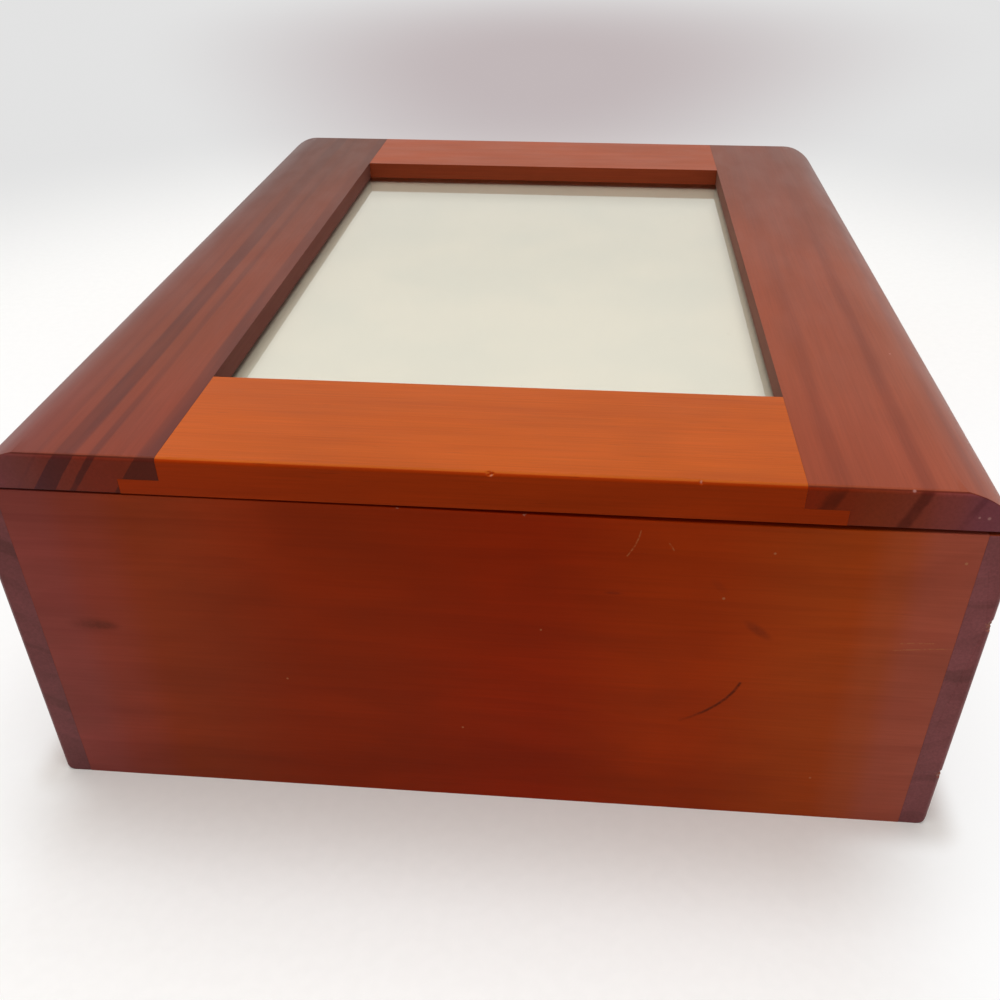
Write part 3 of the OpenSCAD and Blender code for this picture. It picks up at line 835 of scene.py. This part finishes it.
def sag(x, y):
    if x <= warp["deepestAt"]:
        t = min(max((x - warp["from"]) / (warp["deepestAt"] - warp["from"]), 0), 1)
        drop = warp["deepest"] * t * t * (3 - 2 * t)
    else:
        t = (x - warp["deepestAt"]) / (warp["corner"] - warp["deepestAt"])
        drop = warp["deepest"] + (warp["atCorner"] - warp["deepest"]) * t
    back = min(max((y - warp["fadeFrom"]) / warp["fadeDepth"], 0), 1)
    return drop * (1 - back) ** 2


def sinkTopEdge(shape):
    top = max(v.co.z for v in shape.verts)
    for vert in shape.verts:
        share = (vert.co.z - (top - warp["reachDown"] * mm)) / (warp["reachDown"] * mm)
        if share > 0:
            vert.co.z -= sag(vert.co.x / mm, vert.co.y / mm) * mm * share


def makeBoard(nodeName, body, piece, wood):
    low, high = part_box(nodeName)
    along = woods[wood]["along"]
    shape = freshMesh(nodeName)
    easeArrises(shape, edges[body]["arris"], edges[body]["joints"])
    start, end = low[along], high[along]
    crossCut(shape, along, evenly(start, end, int((end - start) / mm / boardWork["slice"])))
    marks = chips.get(nodeName, [])
    for chip in marks:
        chipArris(shape, chip)
    settle(shape, low, high, boardWork["hollow"])
    ends = [f for f in shape.faces
            if len(f.verts) > boardWork["endCorners"] and abs(f.normal[along]) > boardWork["endOn"]]
    bmesh.ops.triangulate(shape, faces=ends, ngon_method="BEAUTY")
    if nodeName in warp["nodes"]:
        sinkTopEdge(shape)
    ownMarks = frontMarks if nodeName == "front_panel" else None
    return finishPiece(piece, shape, woodMaterial(wood, woods[wood], marks, ownMarks), body, [nodeName])


for bodyName, bodyBoards in boards.items():
    for boardNode, (pieceName, slotName, woodName) in bodyBoards.items():
        made = makeBoard(boardNode, bodyName, pieceName, woodName)
        print("board", made.name, len(made.data.polygons), "faces")


# ---- window: glass, the blank sheet behind it and its backing card

glass = {
    "clear": (0.99, 0.995, 0.985, 1.0), "mirror": (0.95, 0.96, 0.94, 1.0), "bends": 1.5,
    "bothFaces": 1.7,       # it mirrors at its front and at its back
    "film": 0.05, "smear": (0.02, 0.06), "dustRough": 0.6, "dustShine": 0.3,
}


def paneMaterial(name):
    material = startMaterial(name)
    place = millimetres()
    dust = fade(cloud(place, (0.9, 0.9, 0.9), 41.0), 0.74, 0.82)
    film = cloud(place, (46.0, 30.0, 30.0), 43.0, detail=3.0)
    film = fade(film, 0.35, 0.75, 0.0, glass["film"])
    smear = fade(cloud(place, (24.0, 16.0, 16.0), 47.0, detail=4.0), 0.3, 0.7, *glass["smear"])
    rough = sum2(smear, times(dust, glass["dustRough"]))
    clear = put("BsdfTransparent", {"Color": glass["clear"]})
    gloss = put("BsdfPrincipled", {"Base Color": glass["mirror"], "Roughness": rough, "Metallic": 1.0})
    outside = number("SUBTRACT", 1.0, put("NewGeometry").outputs["Backfacing"])
    shine = times(put("Fresnel", {"IOR": glass["bends"]}).outputs[0], glass["bothFaces"])
    soiled = number("MAXIMUM", shine, sum2(film, times(dust, glass["dustShine"])))
    share = put("Math", {0: soiled, 1: outside}, operation="MULTIPLY", use_clamp=True).outputs[0]
    both = put("MixShader", {0: share, 1: clear.outputs[0], 2: gloss.outputs[0]})
    wires(both.outputs[0])
    return material


paper = {
    "tones": ((0.72, 0.665, 0.565), (0.68, 0.64, 0.55)),
    "fibreTone": (0.54, 0.49, 0.40),
    # painted shade of the frame's lip along the sheet's edges
    "frameShadeTone": (0.36, 0.31, 0.23),
    "frameShadeInside": 4.5,      # mm inside the lip's line, and under it
    "frameShadeUnder": 0.5,
    "frameShadeShare": 0.55,
    "rearRailShade": (58.0, 75.0, 0.0, 0.60),    # painted shadow and reflection of the rear rail, deeper towards the rear, from y to y, share
    "speckTone": (0.35, 0.22, 0.12),
}


def paperMaterial(name):
    material = startMaterial(name)
    place = millimetres()
    spot = apart(place)
    mottle = cloud(place, (26.0, 26.0, 26.0), 51.0, detail=4.0)
    fibre = cloud(place, (1.6, 0.5, 1.0), 53.0, detail=4.0)
    speck = fade(cloud(place, (1.3, 1.3, 1.3), 57.0, detail=1.0), 0.80, 0.84)
    colour = mixed(fade(mottle, 0.3, 0.7), *paper["tones"])
    colour = mixed(fade(fibre, 0.3, 0.7, 0.0, 0.10), colour, paper["fibreTone"])
    # painted shade along the window's edges, deepest at the rear rail
    frameShade = fade(spot[yAxis], *paper["rearRailShade"])
    for side, edge in zip(spot, windowHalf):
        rim = fade(number("ABSOLUTE", side), edge - paper["frameShadeInside"],
                   edge + paper["frameShadeUnder"], 0.0, paper["frameShadeShare"])
        frameShade = number("MAXIMUM", frameShade, rim)
    colour = mixed(frameShade, colour, paper["frameShadeTone"])
    colour = mixed(times(speck, 0.5), colour, paper["speckTone"])
    return principled(material, {
        "Base Color": colour, "Roughness": fade(fibre, 0.2, 0.8, 0.62, 0.80),
        "Normal": bumped(sum2(fibre, mottle), 0.02, 0.5), "Specular IOR Level": 0.25,
    })


card = {
    "tones": ((0.33, 0.225, 0.13), (0.42, 0.30, 0.185)),
    "fleckTone": (0.16, 0.10, 0.055),
    "cloudTone": (0.27, 0.18, 0.11),
}


def cardMaterial(name):
    material = startMaterial(name)
    place = millimetres()
    felted = cloud(place, (2.2, 2.2, 2.2), 61.0, detail=6.0, rough=0.7)
    fleck = fade(cloud(place, (0.7, 0.35, 0.5), 63.0), 0.62, 0.74)
    broad = cloud(place, (60.0, 60.0, 60.0), 67.0)
    colour = mixed(fade(felted, 0.25, 0.75), *card["tones"])
    colour = mixed(times(fleck, 0.6), colour, card["fleckTone"])
    colour = mixed(fade(broad, 0.3, 0.7, 0.0, 0.2), colour, card["cloudTone"])
    return principled(material, {
        "Base Color": colour, "Roughness": fade(felted, 0.2, 0.8, 0.75, 0.92),
        "Normal": bumped(felted, 0.05, 0.8), "Specular IOR Level": 0.2,
    })


panes = {       # mm: eased arris, bow, and room left above for what lies on it
    "glass_pane": {"piece": "window_pane", "slot": "window_glass", "arris": 0.22, "cells": 24, "bow": 0.0,
                   "clear": 0.0, "material": paneMaterial("clear window glass")},
    "photo_insert": {"piece": "blank_insert", "slot": "blank_sheet", "arris": 0.04, "cells": 40, "bow": 0.04,
                     "clear": 0.09, "material": paperMaterial("blank cream sheet")},
    "backing_board": {"piece": "backing_card", "slot": "backing_card", "arris": 0.18, "cells": 40,
                      "bow": 0.03, "clear": 0.07, "material": cardMaterial("brown backing card")},
}
bowWave = 55.0      # mm


def makePane(nodeName, look):   # a sheet with eased arrises, in cells for a slight bow
    low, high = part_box(nodeName)
    high.z -= look["clear"] * mm
    middle, half = (low + high) / 2, (high - low) / 2
    shape = bmesh.new()
    bmesh.ops.create_cube(shape, size=2.0)
    for vert in shape.verts:
        vert.co = Vector((middle[i] + vert.co[i] * half[i] for i in range(3)))
    bmesh.ops.bevel(shape, geom=list(shape.edges), offset=look["arris"] * mm, segments=2, profile=0.5,
                    affect="EDGES", clamp_overlap=True)
    for axis in (xAxis, yAxis):
        crossCut(shape, axis, evenly(low[axis], high[axis], look["cells"]))
    if look["bow"]:
        for vert in shape.verts:
            flat = Vector((vert.co.x, vert.co.y, 0))
            vert.co.z += noise.noise(flat / (bowWave * mm)) * look["bow"] * mm
    return finishPiece(look["piece"], shape, look["material"], "lid", [nodeName])


for paneNode, paneLook in panes.items():
    makePane(paneNode, paneLook)
print("window pane, sheet and backing made")


# ---- bottom: plywood, its brads and the felt

ply = {
    "wander": 16.0, "ring": 11.0, "layer": 2.6,     # mm
    "earlyTone": (0.66, 0.46, 0.27), "lateTone": (0.50, 0.30, 0.15), "fibreTone": (0.38, 0.22, 0.11),
    "layerTone": (0.30, 0.17, 0.09), "smudgeTone": (0.30, 0.15, 0.08),
}


def plyMaterial(name):
    material = startMaterial(name)
    place = millimetres()
    wander = cloud(place, (34.0, 90.0, 34.0), 71.0)
    wander = fade(wander, 0.2, 0.8, -ply["wander"], ply["wander"])
    ring = sum2(apart(place)[xAxis], wander)
    year = number("FRACT", times(ring, 1 / ply["ring"]))
    late = times(fade(year, 0.2, 0.9), fade(year, 1.0, 0.92))
    fibre = cloud(place, (0.6, 22.0, 0.6), 73.0, detail=5.0, rough=0.6)
    colour = mixed(times(late, 0.65), ply["earlyTone"], ply["lateTone"])
    colour = mixed(fade(fibre, 0.25, 0.75, 0.0, 0.22), colour, ply["fibreTone"])
    layer = number("FRACT", times(apart(place)[zAxis], 1 / ply["layer"]))
    facing = apart(put("TexCoord").outputs["Normal"])[zAxis]
    edgeOn = fade(number("ABSOLUTE", facing), 0.7, 0.3)
    layered = times(times(edgeOn, fade(layer, 0.48, 0.52)), 0.7)
    colour = mixed(layered, colour, ply["layerTone"])
    smudge = cloud(place, (30.0, 24.0, 30.0), 79.0, detail=4.0, twist=0.8)
    colour = mixed(fade(smudge, 0.55, 0.8, 0.0, 0.35), colour, ply["smudgeTone"])
    return principled(material, {
        "Base Color": colour, "Roughness": fade(fibre, 0.2, 0.8, 0.60, 0.78),
        "Normal": bumped(fibre, 0.05, 0.7), "Specular IOR Level": 0.25,
    })


feltTones = {"deep": (0.018, 0.018, 0.020), "raised": (0.060, 0.058, 0.062), "matted": (0.035, 0.034, 0.037),
             "lint": (0.30, 0.29, 0.28), "sheen": (0.6, 0.6, 0.65, 1.0)}


def feltMaterial(name):
    material = startMaterial(name)
    place = millimetres()
    fuzz = cloud(place, (0.45, 0.45, 0.45), 81.0, detail=6.0, rough=0.75, twist=1.5)
    matted = cloud(place, (14.0, 14.0, 14.0), 83.0, detail=3.0)
    lint = fade(cloud(place, (2.6, 0.5, 1.0), 87.0, twist=2.0), 0.74, 0.80)
    colour = mixed(fade(fuzz, 0.3, 0.7), feltTones["deep"], feltTones["raised"])
    colour = mixed(fade(matted, 0.35, 0.7, 0.0, 0.35), colour, feltTones["matted"])
    colour = mixed(times(lint, 0.25), colour, feltTones["lint"])
    return principled(material, {
        "Base Color": colour, "Roughness": fade(fuzz, 0.2, 0.8, 0.86, 0.97),
        "Normal": bumped(fuzz, 0.16, 0.9), "Specular IOR Level": 0.15,
        "Sheen Weight": 0.35, "Sheen Roughness": 0.5, "Sheen Tint": feltTones["sheen"],
    })


feltCut = {
    "width": 0.1764, "length": 0.2104,      # m
    "cell": 2.2, "pile": 0.10, "matting": 6.0, "edge": 0.35, "edgeWidth": 0.2,      # mm
}


def makeFelt():     # glued down flat, with a soft cut edge and a slightly matted pile
    low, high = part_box("floor_felt")
    shape = bmesh.new()
    across = int(feltCut["width"] / (feltCut["cell"] * mm))
    down = int(feltCut["length"] / (feltCut["cell"] * mm))
    bmesh.ops.create_grid(shape, x_segments=across, y_segments=down, size=0.5)
    for vert in shape.verts:
        vert.co.x *= feltCut["width"]
        vert.co.y *= feltCut["length"]
        nearEdge = min(feltCut["width"] / 2 - abs(vert.co.x), feltCut["length"] / 2 - abs(vert.co.y))
        droop = feltCut["edge"] * mm if nearEdge < feltCut["edgeWidth"] * mm else 0.0
        pile = feltCut["pile"] * mm * (1 + noise.noise(vert.co / (feltCut["matting"] * mm))) * 0.5
        vert.co.z = high.z - droop - pile
    rim = [e for e in shape.edges if e.is_boundary]
    skirt = bmesh.ops.extrude_edge_only(shape, edges=rim)
    for item in skirt["geom"]:
        if isinstance(item, bmesh.types.BMVert):
            item.co.z = low.z
    bmesh.ops.contextual_create(shape, geom=[e for e in shape.edges if e.is_boundary])
    bmesh.ops.recalc_face_normals(shape, faces=shape.faces)
    felt = finishPiece("felt_lining", shape, feltMaterial("black felt"), "box", ["floor_felt"],
                       weighted=False)


bottomWork = {"arris": 0.25, "slice": 8.0, "hollow": 0.04}      # mm


def makeBottom():
    low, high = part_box("bottom_panel")
    shape = freshMesh("bottom_panel")
    easeArrises(shape, bottomWork["arris"])
    step = bottomWork["slice"]
    crossCut(shape, yAxis, [low.y / mm + step * i for i in range(1, int((high.y - low.y) / mm / step))])
    settle(shape, low, high, bottomWork["hollow"])
    finishPiece("bottom_ply", shape, plyMaterial("plain plywood"), "box", ["bottom_panel"])


makeBottom()
makeFelt()
print("bottom and felt made")


# ---- brass hinges, turn buttons and screws, and the steel pins and brads

metals = {
    "worn brass": {"base": (0.70, 0.48, 0.17), "tarnish": (0.34, 0.21, 0.07), "tarnished": 0.55,
                   "rough": (0.24, 0.42), "seed": 91.0},
    "bright brass": {"base": (0.78, 0.56, 0.22), "tarnish": (0.45, 0.30, 0.11), "tarnished": 0.35,
                     "rough": (0.18, 0.34), "seed": 95.0},
    "plain steel": {"base": (0.55, 0.55, 0.56), "tarnish": (0.25, 0.20, 0.16), "tarnished": 0.40,
                    "rough": (0.26, 0.44), "seed": 99.0},
}


def metalMaterial(name, look):
    material = startMaterial(name)
    place = millimetres()
    stain = cloud(place, (3.4, 3.4, 3.4), look["seed"], detail=5.0, twist=0.7)
    brushed = cloud(place, (7.0, 0.10, 0.6), look["seed"] + 2, detail=3.0)
    pits = fade(cloud(place, (0.28, 0.28, 0.28), look["seed"] + 3, detail=1.0), 0.70, 0.80)
    colour = mixed(fade(stain, 0.40, 0.78, 0.0, look["tarnished"]), look["base"], look["tarnish"])
    colour = mixed(times(pits, 0.5), colour, look["tarnish"])
    rough = sum2(fade(stain, 0.3, 0.7, *look["rough"]), times(brushed, 0.06))
    return principled(material, {
        "Base Color": colour, "Metallic": 1.0, "Roughness": rough,
        "Normal": bumped(sum2(brushed, times(pits, -1.0)), 0.012, 0.6),
    })


fittings = {
    "worn brass": ["left_hinge_wall_leaf", "left_hinge_lid_leaf", "right_hinge_wall_leaf",
                   "right_hinge_lid_leaf", "hinge_wall_screws", "hinge_lid_screws"],
    "bright brass": ["front_turn_button", "rear_turn_button", "left_turn_button", "right_turn_button",
                     "turn_button_screws"],
    "plain steel": ["left_hinge_pin", "right_hinge_pin", "bottom_brads"],
}


fittingWork = {"weld": 0.002, "edge": 0.07, "sharpAngle": 40.0}     # mm and degrees


def dressFitting(nodeName, material):   # the CAD solid stays, with softened edges and a metal finish
    node = cadNodes[nodeName]
    node.data.materials.clear()
    node.data.materials.append(material)
    weld = node.modifiers.new("weld", "WELD")
    weld.merge_threshold = fittingWork["weld"] * mm
    soft = node.modifiers.new("soft edges", "BEVEL")
    soft.width = fittingWork["edge"] * mm
    soft.segments = 2
    soft.limit_method = "ANGLE"
    soft.angle_limit = math.radians(fittingWork["sharpAngle"])
    soft.harden_normals = False


for metalName, nodeNames in fittings.items():
    metal = metalMaterial(metalName, metals[metalName])
    for fittingNode in nodeNames:
        dressFitting(fittingNode, metal)
print("fittings dressed")
